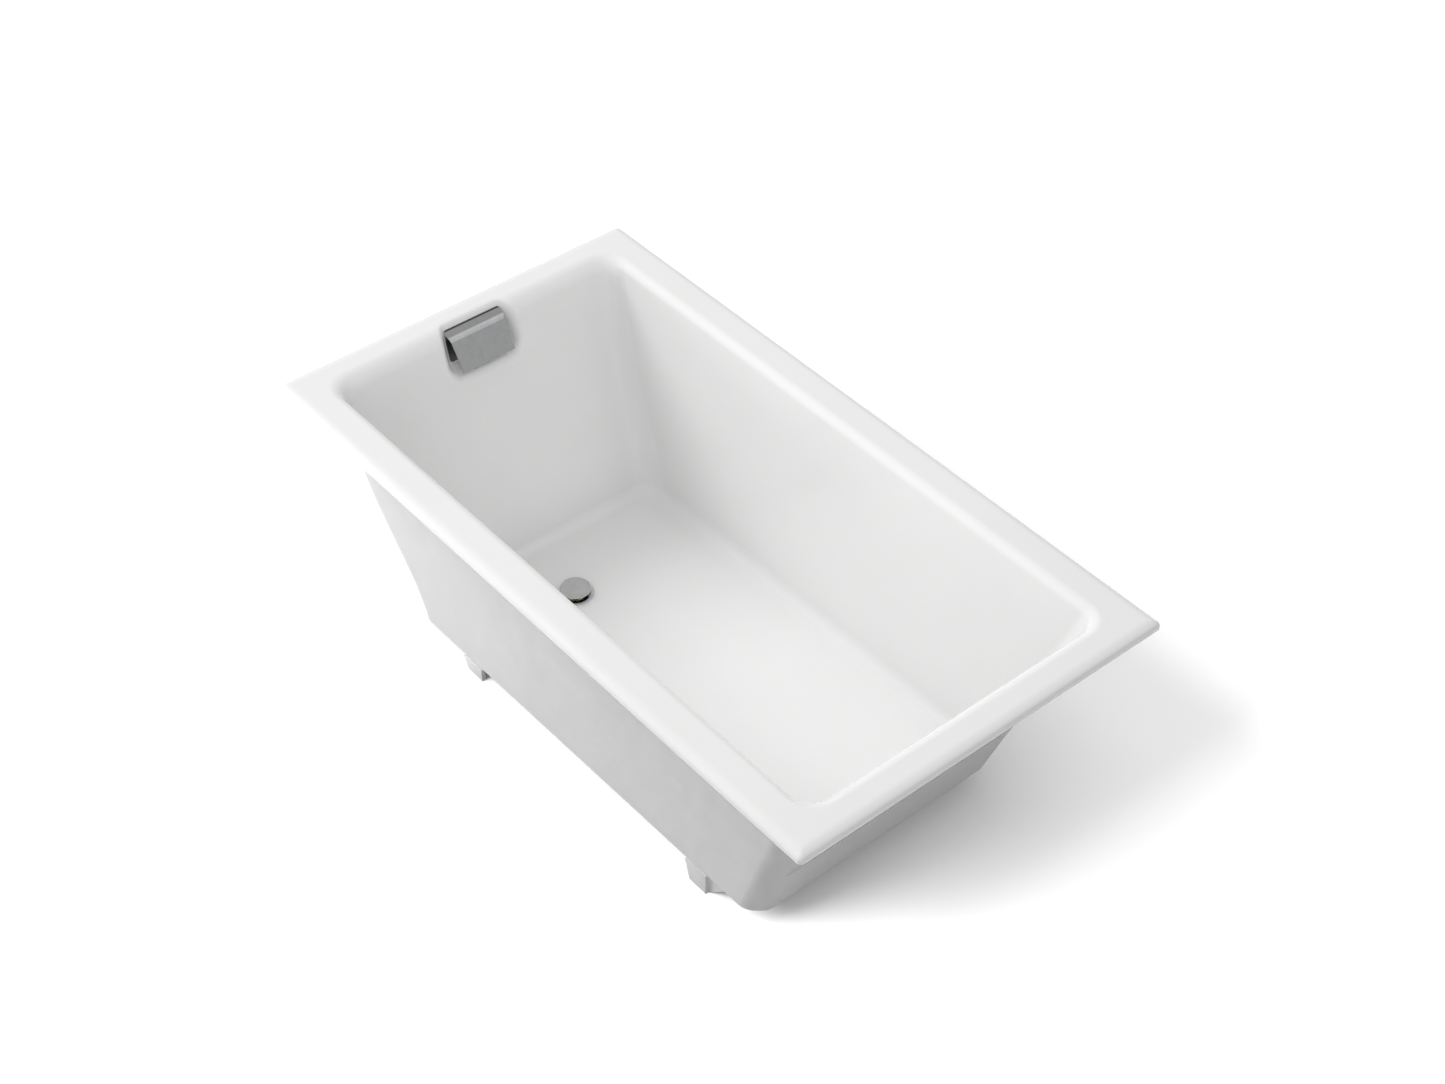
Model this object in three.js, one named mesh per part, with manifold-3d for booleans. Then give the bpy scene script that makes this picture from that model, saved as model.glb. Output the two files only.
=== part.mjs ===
// A cast-iron bathtub with a wide flat rim, four cast feet, a toe-tap drain and a hooded overflow.
// Millimetres, +Z up. The origin lies on the floor, below the centre of the rim.
// +X runs along the bath towards its foot end; the drain and the overflow are at the -X end.

import * as THREE from 'three';
import { mergeVertices } from 'three/addons/utils/BufferGeometryUtils.js';
import Module from 'manifold-3d';

const wasm = await Module();
wasm.setup();

// ---- Driving dimensions -------------------------------------------------------------------

const GAP = 0.3;                  // clearance between neighbouring pieces

// Rim
const RIM_LENGTH = 1676.4;        // 66 in
const RIM_WIDTH = 914.4;          // 36 in
const RIM_TOP = 584.2;            // 23 in above the floor
const RIM_CORNER = 10;
const RIM_PLATE = 9;              // thickness of the flat rim
const LIP_HEIGHT = 22;            // depth of the down-turned edge
const LIP_WALL = 10;
const EDGE_RUN = 24;              // width and drop of the rounded outer edge
const EDGE_DROP = 13;

// Walls and floor of the casting
const WALL = 9;                   // thickness of the floor and of the overflow recess
const FLOOR_DEPTH = 530;          // rim top to the inner floor, at the drain
const FLOOR_SLOPE = 0.0145;       // the floor falls towards the drain
const LEVEL_DEPTH = 100;          // above this depth the sections are level
const FLOOR_FILLET = 30;
const UNDER_FILLET = 4;
const SIDE_TOP = 369;             // half width of the well at the rim, without the roll
const SIDE_BOTTOM = 322;
const SIDE_ROLL = 20;             // radius of the rolled inner edge of the long sides
const FOOT_END_TOP = 761;
const FOOT_END_BOTTOM = 567;
const BACK_ROLL = 52;             // the large roll at the top of the backrest
const BACK_ROLL_X = -784;         // where the flat rim meets that roll
const WELL_CORNER_TOP = 45;
const WELL_CORNER_BOTTOM = 58;
const BACKREST = [                // [depth below the rim top, x] down the middle of the backrest
  [35, -735],
  [100, -722],
  [180, -703],
  [260, -675],
  [350, -630],
  [430, -590],
  [500, -566],
  [530, -560],
];

// Outside of the casting. The widths run on past the rim and the floor, to depths 0 and 530.
const OUTER_SIDE_TOP = 385;
const OUTER_SIDE_BOTTOM = 330;
const OUTER_FOOT_TOP = 769;
const OUTER_FOOT_BOTTOM = 580;
const OUTER_BACK = 14;            // thickness of the backrest
const OUTER_CORNER = 47;          // radius of the upright corners
const SKIRT = 14;                 // width of the skirt around the underside
const SKIRT_DEPTH = 551.3;        // rim top to the skirt's lower edge, at the drain
const SKIRT_SLOPE = 0.0252;
const PIPE_NOTCH = { y0: -42, y1: 4, top: 38.6 };

// Thickened pad on the outside of the foot end
const PAD_PROUD = 4;
const PAD_HALF = 293;
const PAD_DROP = 355;             // from the rim top to the pad's upper edge

// Drain
const DRAIN_X = -380;
const DRAIN_Y = -37;
const DRAIN_HOLE = 27;            // radius
const DRAIN_SEAT = 39;            // radius of the flat seat in the enamel
const SEAT_DEPTH = 1.6;
const DRAIN_FACE = 41;            // radius of the flat pad cast under the hole
const FLANGE_RADIUS = 37;
const BARREL_OUTER = 22.5;
const BARREL_BORE = 19;
const HUB_RADIUS = 9.5;
const CAP_RADIUS = 35;
const CAP_RAISE = 16;             // top of the open stopper above the floor

// Waste pipes
const PIPE_RADIUS = 14.3;         // 1-1/8 in tube
const PIPE_WALL = 1.2;
const PIPE_Z = 21.4;              // axis of the lying pipe
const SOCKET_BORE = PIPE_RADIUS + GAP;
const SOCKET_OUTER = 17;
const NUT_OUTER = 20.6;
const STACK_X = -795;             // axis of the upright overflow pipe
const TEE_REACH = 36;

// Overflow recess and its hood
const RECESS_TILT = THREE.MathUtils.degToRad(14.6);
const RECESS_X = -767;            // a point in the middle of the recess's back
const RECESS_DROP = 50;           // its depth below the rim top
const RECESS_BACK = { half: 78, low: -48, high: 43, corner: 14 };
const RECESS_MOUTH = { half: 102, low: -75, high: 43, corner: 30, out: 60 };
const HOOD_SHEET = 2;
const SCREW_SPACING = 92;
const SCREW_HOLE = 2.9;

// Feet
const FOOT_STATIONS = [{ name: 'drain_end', x: -366, gusset: false }, { name: 'heel_end', x: 398, gusset: true }];
const FOOT_PLATE = 10.5;
const FOOT_FACE = 330.5;            // distance of the plates' outer faces from the centre plane
const FOOT_TOP_LEFT = -32;
const FOOT_BOTTOM_LEFT = -19;
const FOOT_RIGHT = 32;
const GUSSET_RUN = 56;
const GUSSET_SHEET = 8;
const FLANGE_SHEET = 8;
const FLANGE_REACH = 44;
const BOSS_PROUD = 2;             // how far the bosses stand out below the skirt
const BOSS_RADIUS = 13;
const BOLT_RADIUS = 5;
const BOLT_INSET = 26;            // from the plate's inner face to the bolt's axis
const BOLT_HEAD = 6.4;
const BOLT_FLATS = 17;

// ---- Derived places -----------------------------------------------------------------------

const floorZ = (x) => RIM_TOP - FLOOR_DEPTH + FLOOR_SLOPE * (x - DRAIN_X);
const underZ = (x) => floorZ(x) - WALL;
const skirtZ = (x) => RIM_TOP - SKIRT_DEPTH + SKIRT_SLOPE * (x - DRAIN_X);
const bossZ = (x) => skirtZ(x) - BOSS_PROUD;
const boltHoleTop = (x) => floorZ(x) - 5;
const SEAT_Z = floorZ(DRAIN_X) - SEAT_DEPTH;
const DRAIN_UNDER = underZ(DRAIN_X - DRAIN_FACE) - GAP;
const RUN_LENGTH = Math.hypot(DRAIN_X - STACK_X, DRAIN_Y);
const RUN_YAW = Math.atan2(DRAIN_Y, DRAIN_X - STACK_X);
const BOLT_Y = FOOT_FACE - FOOT_PLATE - BOLT_INSET;

// Across, up and out of the recess's leaning back.
const recessFrame = new THREE.Matrix4()
  .makeBasis(
    new THREE.Vector3(0, 1, 0),
    new THREE.Vector3(-Math.sin(RECESS_TILT), 0, Math.cos(RECESS_TILT)),
    new THREE.Vector3(Math.cos(RECESS_TILT), 0, Math.sin(RECESS_TILT)),
  )
  .setPosition(RECESS_X, 0, RIM_TOP - RECESS_DROP);

// Along the lying waste pipe, from the tee to the drain.
const runFrame = new THREE.Matrix4()
  .makeRotationZ(RUN_YAW)
  .setPosition(STACK_X, 0, PIPE_Z);

// ---- Helpers ------------------------------------------------------------------------------

function solid(geometry) {
  const bare = geometry.clone();
  bare.deleteAttribute('normal');
  bare.deleteAttribute('uv');
  const merged = mergeVertices(bare, 1e-3);
  const source = merged.index.array;
  const triVerts = [];
  for (let i = 0; i < source.length; i += 3) {
    const [a, b, c] = source.slice(i, i + 3);
    if (a !== b && b !== c && c !== a) triVerts.push(a, b, c);
  }
  const vertProperties = new Float32Array(merged.attributes.position.array);
  const mesh = new wasm.Mesh({ numProp: 3, vertProperties, triVerts: new Uint32Array(triVerts) });
  return new wasm.Manifold(mesh);
}

function geometryOf(manifold) {
  const { vertProperties, triVerts } = manifold.getMesh();
  const geometry = new THREE.BufferGeometry();
  geometry.setAttribute('position', new THREE.BufferAttribute(new Float32Array(vertProperties), 3));
  geometry.setIndex(new THREE.BufferAttribute(new Uint32Array(triVerts), 1));
  geometry.computeVertexNormals();
  return geometry;
}

function combine(base, added = [], removed = []) {
  let result = solid(base);
  for (const piece of added) result = result.add(solid(piece));
  for (const piece of removed) result = result.subtract(solid(piece));
  return geometryOf(result);
}

function common(a, b) {
  return geometryOf(solid(a).intersect(solid(b)));
}

// A closed skin through rings of equal point counts, listed upwards, each turning left seen from above.
function loft(rings) {
  const positions = [];
  const index = [];
  const count = rings[0].length;
  for (const ring of rings) for (const p of ring) positions.push(p.x, p.y, p.z);
  for (let row = 0; row < rings.length - 1; row++) {
    for (let i = 0; i < count; i++) {
      const next = (i + 1) % count;
      const low = row * count;
      const high = low + count;
      index.push(low + i, low + next, high + next, low + i, high + next, high + i);
    }
  }
  for (const [row, upward] of [[0, false], [rings.length - 1, true]]) {
    const centre = new THREE.Vector3();
    for (const p of rings[row]) centre.addScaledVector(p, 1 / count);
    const hub = positions.length / 3;
    positions.push(centre.x, centre.y, centre.z);
    for (let i = 0; i < count; i++) {
      const a = row * count + i;
      const b = row * count + (i + 1) % count;
      index.push(hub, upward ? a : b, upward ? b : a);
    }
  }
  const geometry = new THREE.BufferGeometry();
  geometry.setAttribute('position', new THREE.Float32BufferAttribute(positions, 3));
  geometry.setIndex(index);
  geometry.computeVertexNormals();
  return geometry;
}

function roundedRect(x0, x1, y0, y1, r) {
  const shape = new THREE.Shape();
  shape.moveTo(x0 + r, y0);
  shape.lineTo(x1 - r, y0);
  shape.absarc(x1 - r, y0 + r, r, -Math.PI / 2, 0, false);
  shape.lineTo(x1, y1 - r);
  shape.absarc(x1 - r, y1 - r, r, 0, Math.PI / 2, false);
  shape.lineTo(x0 + r, y1);
  shape.absarc(x0 + r, y1 - r, r, Math.PI / 2, Math.PI, false);
  shape.lineTo(x0, y0 + r);
  shape.absarc(x0 + r, y0 + r, r, Math.PI, Math.PI * 1.5, false);
  return shape;
}

function ringOf(shape, z, cornerSteps = 4) {
  const points = shape.getPoints(cornerSteps);
  const apart = (p, i) => p.distanceTo(points[(i + 1) % points.length]) > 1e-6;
  return points.filter(apart).map((p) => new THREE.Vector3(p.x, p.y, z));
}

function extrude(shape, depth, curveSegments = 6) {
  return new THREE.ExtrudeGeometry(shape, { depth, bevelEnabled: false, curveSegments });
}

// A profile of [radius, height] pairs turned about +Z. It runs up the outside and returns inside.
function turned(profile, segments = 36) {
  const points = profile.map(([r, z]) => new THREE.Vector2(r, z));
  return new THREE.LatheGeometry(points, segments).rotateX(Math.PI / 2);
}

function rod(radius, z0, z1, segments = 28) {
  return turned([[0, z0], [radius, z0], [radius, z1], [0, z1]], segments);
}

function pipe(inner, outer, z0, z1, segments = 28) {
  return turned([[inner, z0], [outer, z0], [outer, z1], [inner, z1], [inner, z0]], segments);
}

function box(x0, x1, y0, y1, z0, z1) {
  return new THREE.BoxGeometry(x1 - x0, y1 - y0, z1 - z0)
    .translate((x0 + x1) / 2, (y0 + y1) / 2, (z0 + z1) / 2);
}

function hexagon(flats) {
  const shape = new THREE.Shape();
  for (let i = 0; i < 6; i++) {
    const angle = (i + 0.5) * Math.PI / 3;
    const reach = flats / Math.sqrt(3);
    shape[i ? 'lineTo' : 'moveTo'](reach * Math.cos(angle), reach * Math.sin(angle));
  }
  shape.closePath();
  return shape;
}

const bath = new THREE.Group();

function add(name, geometry, { color, roughness, metalness }) {
  const mesh = new THREE.Mesh(geometry, new THREE.MeshStandardMaterial({ color, roughness, metalness }));
  mesh.name = name;
  bath.add(mesh);
}

const enamel = { color: 0xf3f3f1, roughness: 0.12, metalness: 0 };
const chrome = { color: 0xc9cbcd, roughness: 0.08, metalness: 1 };
const darkPlate = { color: 0x3a3b3d, roughness: 0.35, metalness: 0.8 };
const brass = { color: 0xb08d4b, roughness: 0.35, metalness: 1 };
const steel = { color: 0x8d9093, roughness: 0.35, metalness: 1 };
const rubber = { color: 0x1d1d1f, roughness: 0.8, metalness: 0 };

// ---- Sections of the casting --------------------------------------------------------------

const backrest = new THREE.CubicInterpolant(
  BACKREST.map(([depth]) => depth),
  BACKREST.map(([, x]) => x),
  1,
);

// How far a quarter-round edge of radius r still stands out at a depth below its top.
function roll(depth, r) {
  if (depth >= r) return 0;
  return r - Math.sqrt(r * r - (r - depth) ** 2);
}

// Where a wall stands at a depth, with a fillet between it and the floor.
function filleted(wall, depth, floorDepth, r) {
  const lean = Math.atan2(Math.abs(wall(floorDepth - r) - wall(floorDepth)), r);
  const height = floorDepth - depth;
  if (height >= r * (1 - Math.sin(lean))) return wall(depth);
  const tangent = r * Math.tan((Math.PI / 2 - lean) / 2);
  const inset = tangent - Math.sqrt(r * r - (r - height) ** 2);
  return wall(floorDepth) - inset * Math.sign(wall(floorDepth));
}

// Where the backrest stands at a depth, set back by a thickness, with the roll at its top.
function backAt(depth, thickness) {
  const rise = BACK_ROLL - depth;
  const radius = BACK_ROLL - thickness;
  const onRoll = rise > 0 ? BACK_ROLL_X + Math.sqrt(Math.max(0, radius ** 2 - rise ** 2)) : Infinity;
  return Math.min(onRoll, backrest.evaluate(Math.max(depth, BACKREST[0][0]))[0] - thickness);
}

const drafted = (top, bottom) => (depth) => THREE.MathUtils.lerp(top, bottom, depth / FLOOR_DEPTH);

// The outline of the well at a depth.
function wellSection(depth) {
  const edge = roll(depth, SIDE_ROLL);
  const at = (wall) => filleted(wall, depth, FLOOR_DEPTH, FLOOR_FILLET);
  return {
    x0: at((d) => backAt(d, 0)),
    x1: at(drafted(FOOT_END_TOP, FOOT_END_BOTTOM)) + edge,
    half: at(drafted(SIDE_TOP, SIDE_BOTTOM)) + edge,
    corner: drafted(WELL_CORNER_TOP, WELL_CORNER_BOTTOM)(depth) + edge,
  };
}

// The outline of the casting's outside at a depth, with the foot end set further out by a pad.
function outerSection(depth, pad) {
  const at = (wall) => filleted(wall, depth, SKIRT_DEPTH, UNDER_FILLET);
  return {
    x0: at((d) => backAt(d, OUTER_BACK)),
    x1: at(drafted(OUTER_FOOT_TOP + pad, OUTER_FOOT_BOTTOM + pad)),
    half: at(drafted(OUTER_SIDE_TOP, OUTER_SIDE_BOTTOM)),
    corner: OUTER_CORNER,
  };
}

// Sections lie level near the rim and follow a slope further down.
function sectionRing({ x0, x1, half, corner }, depth, slope) {
  const tilt = slope * THREE.MathUtils.smoothstep(depth, LEVEL_DEPTH, FLOOR_DEPTH);
  const ring = ringOf(roundedRect(x0, x1, -half, half, corner), RIM_TOP - depth);
  for (const p of ring) p.z += tilt * (p.x - DRAIN_X);
  return ring;
}

function rimRing(inset, z) {
  const x = RIM_LENGTH / 2 - inset;
  const y = RIM_WIDTH / 2 - inset;
  return ringOf(roundedRect(-x, x, -y, y, Math.max(RIM_CORNER - inset / 2, 4)), z);
}

function filletDepths(floorDepth, r, steps) {
  const depths = [];
  for (let i = 0; i <= steps; i++) depths.push(floorDepth - r * (1 - Math.cos((i / steps) * Math.PI / 2)));
  return depths;
}

const WALL_DEPTHS = [500, 460, 420, 375, 330, 280, 230, 180, 130, 80, 50, 38, 28, 18, 12];

function outerSkin(pad = 0) {
  const under = filletDepths(SKIRT_DEPTH, UNDER_FILLET, 3);
  const depths = [...under, 525, ...WALL_DEPTHS, RIM_PLATE];
  return depths.map((depth) => sectionRing(outerSection(depth, pad), depth, SKIRT_SLOPE));
}

function outerBody() {
  const rings = outerSkin();
  rings.push(rimRing(LIP_WALL, RIM_TOP - RIM_PLATE));
  rings.push(rimRing(LIP_WALL, RIM_TOP - LIP_HEIGHT));
  rings.push(rimRing(3, RIM_TOP - LIP_HEIGHT));
  rings.push(rimRing(0, RIM_TOP - LIP_HEIGHT + 3));
  const steps = 5;
  for (let i = 0; i <= steps; i++) {
    const angle = (i / steps) * Math.PI / 2;
    rings.push(rimRing(EDGE_RUN * (1 - Math.cos(angle)), RIM_TOP - EDGE_DROP * (1 - Math.sin(angle))));
  }
  return loft(rings);
}

function heelPad() {
  const top = RIM_TOP - PAD_DROP;
  const slab = box(OUTER_FOOT_BOTTOM - OUTER_CORNER, RIM_LENGTH / 2, -PAD_HALF, PAD_HALF, 0, top);
  return common(loft(outerSkin(PAD_PROUD)), slab);
}

function wellCavity() {
  const floor = filletDepths(FLOOR_DEPTH, FLOOR_FILLET, 6);
  const walls = [465, 430, 395, 350, 305, 260, 220, 180, 140, 100, 65, 48, 35, 26, 18, 11, 6, 2.5, 0.6, 0];
  const rings = [...floor, ...walls].map((depth) => sectionRing(wellSection(depth), depth, FLOOR_SLOPE));
  rings.push(rings.at(-1).map((p) => p.clone().setZ(RIM_TOP + 10)));
  return loft(rings);
}

// The hollow inside the skirt, below the floor.
function underHollow() {
  const { x0, x1, half, corner } = outerSection(SKIRT_DEPTH - UNDER_FILLET, 0);
  const outline = roundedRect(x0 + SKIRT, x1 - SKIRT, SKIRT - half, half - SKIRT, corner - SKIRT);
  const top = ringOf(outline, 0);
  for (const p of top) p.z = underZ(p.x);
  return loft([ringOf(outline, -10), top]);
}

// A tapering rounded block standing on the recess's back, from one outline to another.
function recessBlock(start, end) {
  const ring = ({ half, low, high, corner, out }) => ringOf(roundedRect(-half, half, low, high, corner), out);
  return loft([ring(start), ring(end)]).applyMatrix4(recessFrame);
}

function bathShell() {
  const grow = (outline, by, out) => ({
    half: outline.half + by,
    low: outline.low - by,
    high: outline.high + by,
    corner: outline.corner + by / 2,
    out,
  });
  const belowRimTop = box(-RIM_LENGTH / 2, 0, -RIM_WIDTH / 2, RIM_WIDTH / 2, 0, RIM_TOP - RIM_PLATE / 2);
  const pocketWall = common(recessBlock(grow(RECESS_BACK, WALL, -WALL), grow(RECESS_MOUTH, 0, 30)), belowRimTop);
  const pocket = recessBlock({ ...RECESS_BACK, out: 0 }, RECESS_MOUTH);
  const overflowHole = extrude(roundedRect(-27, 27, -22, 18, 12), 20).translate(0, 0, -15).applyMatrix4(recessFrame);
  const face = rod(DRAIN_FACE, DRAIN_UNDER, floorZ(DRAIN_X) - 3).translate(DRAIN_X, DRAIN_Y, 0);
  const hole = rod(DRAIN_HOLE, 0, RIM_TOP / 2, 48).translate(DRAIN_X, DRAIN_Y, 0);
  const seat = rod(DRAIN_SEAT, SEAT_Z, SEAT_Z + 20, 48).translate(DRAIN_X, DRAIN_Y, 0);
  const notch = box(-RIM_LENGTH / 2, BACKREST.at(-1)[1] + SKIRT, PIPE_NOTCH.y0, PIPE_NOTCH.y1, 0, PIPE_NOTCH.top);
  const bosses = [];
  const holes = [];
  for (const { x } of FOOT_STATIONS) {
    for (const side of [-1, 1]) {
      bosses.push(rod(BOSS_RADIUS, bossZ(x), underZ(x) + 3).translate(x, side * BOLT_Y, 0));
      holes.push(rod(BOLT_RADIUS + GAP, bossZ(x) - 1, boltHoleTop(x), 20).translate(x, side * BOLT_Y, 0));
    }
  }
  for (const side of [-1, 1]) {
    const screwHole = rod(SCREW_HOLE, -15, 5, 20).translate(side * SCREW_SPACING / 2, 0, 0);
    holes.push(screwHole.applyMatrix4(recessFrame));
  }
  const body = combine(outerBody(), [heelPad()], [underHollow(), notch]);
  return combine(body, [pocketWall, face, ...bosses], [wellCavity(), pocket, overflowHole, hole, seat, ...holes]);
}

// ---- Feet ---------------------------------------------------------------------------------

function foot({ x, gusset }, side) {
  const top = (dx) => skirtZ(x + dx) - GAP;
  const outline = new THREE.Shape();
  outline.moveTo(FOOT_BOTTOM_LEFT, 0);
  outline.lineTo(FOOT_RIGHT, 0);
  outline.lineTo(FOOT_RIGHT, top(FOOT_RIGHT));
  outline.lineTo(FOOT_TOP_LEFT, top(FOOT_TOP_LEFT));
  outline.closePath();
  const upright = new THREE.Matrix4().makeRotationX(Math.PI / 2);
  const plate = extrude(outline, FOOT_PLATE).applyMatrix4(upright).translate(0, FOOT_FACE, 0);
  const flangeTop = bossZ(x) - GAP;
  const inner = FOOT_FACE - FOOT_PLATE;
  const flange = box(-26, 26, inner - FLANGE_REACH, inner + 1, flangeTop - FLANGE_SHEET, flangeTop);
  const web = new THREE.Shape();
  web.moveTo(0, 0);
  web.lineTo(0, flangeTop - 1);
  web.lineTo(-FLANGE_REACH + 26, flangeTop - 1);
  web.closePath();
  const added = [flange];
  if (gusset) {
    const fin = new THREE.Shape();
    fin.moveTo(FOOT_RIGHT - 2, 0);
    fin.lineTo(FOOT_RIGHT + 2, 0);
    fin.lineTo(FOOT_RIGHT + GUSSET_RUN, top(FOOT_RIGHT));
    fin.lineTo(FOOT_RIGHT - 2, top(FOOT_RIGHT));
    fin.closePath();
    added.push(extrude(fin, GUSSET_SHEET).applyMatrix4(upright).translate(0, inner + 2, 0));
  }
  const hole = rod(BOLT_RADIUS + GAP, 0, RIM_TOP / 2, 24).translate(0, BOLT_Y, 0);
  const made = combine(plate, added, [hole]);
  if (side < 0) mirrorY(made);
  return made.translate(x, 0, 0);
}

function mirrorY(geometry) {
  geometry.scale(1, -1, 1);
  const index = geometry.index.array;
  for (let i = 0; i < index.length; i += 3) [index[i], index[i + 1]] = [index[i + 1], index[i]];
  geometry.computeVertexNormals();
}

function footBolt({ x }, side) {
  const seat = bossZ(x) - GAP - FLANGE_SHEET;
  const head = extrude(hexagon(BOLT_FLATS), BOLT_HEAD).translate(0, 0, seat - GAP - BOLT_HEAD);
  const shank = rod(BOLT_RADIUS, seat - GAP - 1, boltHoleTop(x) - 1, 24);
  return combine(head, [shank]).translate(x, side * BOLT_Y, 0);
}

// ---- Drain and stopper --------------------------------------------------------------------

const SEAT_TOP = SEAT_Z + GAP;
const FLANGE_TOP = SEAT_Z + 2.8;
const BARREL_END = SEAT_Z - 16.1;
const SPIDER = [BARREL_END + 0.5, BARREL_END + 4.5];
const CAP_TOP = floorZ(DRAIN_X) + CAP_RAISE;
const CAP_UNDER = CAP_TOP - 3.5;
const SEAL = [CAP_UNDER - GAP - 2.4, CAP_UNDER - GAP];
const CARTRIDGE = [BARREL_END - 16, SEAT_Z - 2.6];
const SPRING_FOOT = CARTRIDGE[0] + 2 + GAP;
const PLUNGER_END = SEAT_Z - 11;
const POST_RADIUS = 4.5;

const atDrain = (geometry) => geometry.translate(DRAIN_X, DRAIN_Y, 0);

function drainFlange() {
  const body = turned([
    [BARREL_BORE, BARREL_END],
    [BARREL_OUTER, BARREL_END],
    [BARREL_OUTER, SEAT_TOP],
    [FLANGE_RADIUS - 0.6, SEAT_TOP],
    [FLANGE_RADIUS, SEAT_TOP + 0.6],
    [FLANGE_RADIUS - 0.4, FLANGE_TOP - 0.5],
    [FLANGE_RADIUS - 2, FLANGE_TOP],
    [FLANGE_RADIUS - 4.5, FLANGE_TOP - 0.6],
    [BARREL_OUTER + 2.5, SEAT_TOP + 1.3],
    [BARREL_BORE + 1, SEAT_TOP - 1],
    [BARREL_BORE, SEAT_Z - 4],
    [BARREL_BORE, BARREL_END],
  ], 48);
  const arms = [0, 1, 2].map((i) =>
    box(2, BARREL_BORE + 1, -2, 2, ...SPIDER).rotateZ(i * Math.PI * 2 / 3));
  const hub = rod(HUB_RADIUS, ...SPIDER);
  const bore = rod(6.5, SPIDER[0] - 1, SPIDER[1] + 1);
  return atDrain(combine(body, [hub, ...arms], [bore]));
}

function stopperCap() {
  return atDrain(turned([
    [0, CAP_UNDER + 2],
    [3.8, CAP_UNDER + 2],
    [3.8, CAP_UNDER],
    [CAP_RADIUS - 1.2, CAP_UNDER],
    [CAP_RADIUS, CAP_UNDER + 1.2],
    [CAP_RADIUS - 0.4, CAP_TOP - 0.8],
    [CAP_RADIUS - 2.2, CAP_TOP],
    [CAP_RADIUS / 2, CAP_TOP - 0.5],
    [0, CAP_TOP - 0.7],
  ], 48));
}

function stopperPlunger() {
  const collar = SEAL[0] - GAP;
  return atDrain(turned([
    [0, PLUNGER_END],
    [POST_RADIUS, PLUNGER_END],
    [POST_RADIUS, collar - 2.5],
    [11, collar - 2.5],
    [11, collar],
    [3.5, collar],
    [3.5, CAP_UNDER + 1.7],
    [0, CAP_UNDER + 1.7],
  ]));
}

function toeTapCartridge() {
  const shoulder = SPIDER[1] + GAP;
  const top = CARTRIDGE[1];
  return atDrain(turned([
    [0, CARTRIDGE[0]],
    [6.2, CARTRIDGE[0]],
    [6.2, shoulder],
    [9, shoulder],
    [9, shoulder + 2.5],
    [7, shoulder + 2.5],
    [7, top],
    [POST_RADIUS + 0.5, top],
    [POST_RADIUS + 0.5, CARTRIDGE[0] + 2],
    [0, CARTRIDGE[0] + 2],
  ]));
}

class Helix extends THREE.Curve {
  constructor(radius, height, turns) {
    super();
    Object.assign(this, { radius, height, turns });
  }

  getPoint(t, target = new THREE.Vector3()) {
    const angle = t * this.turns * Math.PI * 2;
    return target.set(this.radius * Math.cos(angle), this.radius * Math.sin(angle), t * this.height);
  }
}

function stopperSpring() {
  const wire = 0.45;
  const turns = 7;
  const height = PLUNGER_END - SPRING_FOOT - GAP - 2 * wire;
  const section = new THREE.Shape().absarc(0, 0, wire, 0, Math.PI * 2, false);
  const geometry = new THREE.ExtrudeGeometry(section, {
    steps: turns * 10,
    curveSegments: 3,
    extrudePath: new Helix(3.6, height, turns),
  });
  return atDrain(geometry.translate(0, 0, SPRING_FOOT + wire));
}

const SHOE_FLANGE = [DRAIN_UNDER - 5.9, DRAIN_UNDER - 3];

function drainShoe() {
  const cup = turned([
    [0, 3],
    [28, 3],
    [28, SHOE_FLANGE[0]],
    [36, SHOE_FLANGE[0]],
    [36, SHOE_FLANGE[1]],
    [BARREL_OUTER + 0.5, SHOE_FLANGE[1]],
    [BARREL_OUTER + 0.5, 6],
    [0, 6],
  ], 48).translate(RUN_LENGTH, 0, -PIPE_Z);
  const socket = rod(SOCKET_OUTER, 0, 40).rotateY(-Math.PI / 2).translate(RUN_LENGTH - 22.8, 0, 0);
  const bore = rod(SOCKET_BORE, -12, 50).rotateY(-Math.PI / 2).translate(RUN_LENGTH - 22.8, 0, 0);
  return combine(cup, [socket], [bore]).applyMatrix4(runFrame);
}

// ---- Waste pipes --------------------------------------------------------------------------

const TEE_STOP = 16;              // how far the pipes stay from the tee's centre

function shoePipe() {
  return pipe(PIPE_RADIUS - PIPE_WALL, PIPE_RADIUS, TEE_STOP, RUN_LENGTH - 34)
    .rotateY(Math.PI / 2)
    .applyMatrix4(runFrame);
}

function wasteTee() {
  const run = rod(SOCKET_OUTER, -TEE_REACH, TEE_REACH).rotateY(Math.PI / 2);
  const branch = rod(SOCKET_OUTER, 0, TEE_REACH);
  const bores = [
    rod(PIPE_RADIUS - PIPE_WALL, -TEE_REACH - 1, TEE_STOP).rotateY(Math.PI / 2),
    rod(SOCKET_BORE, TEE_STOP - GAP, TEE_REACH + 1).rotateY(Math.PI / 2),
    rod(PIPE_RADIUS - PIPE_WALL, 0, TEE_STOP),
    rod(SOCKET_BORE, TEE_STOP - GAP, TEE_REACH + 1),
  ];
  return combine(run, [branch], bores).applyMatrix4(runFrame);
}

const HEAD_SPIGOT = RIM_TOP - 128;    // lower end of the overflow head

function overflowPipe() {
  return pipe(PIPE_RADIUS - PIPE_WALL, PIPE_RADIUS, PIPE_Z + TEE_STOP, HEAD_SPIGOT + 18).translate(STACK_X, 0, 0);
}

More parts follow.
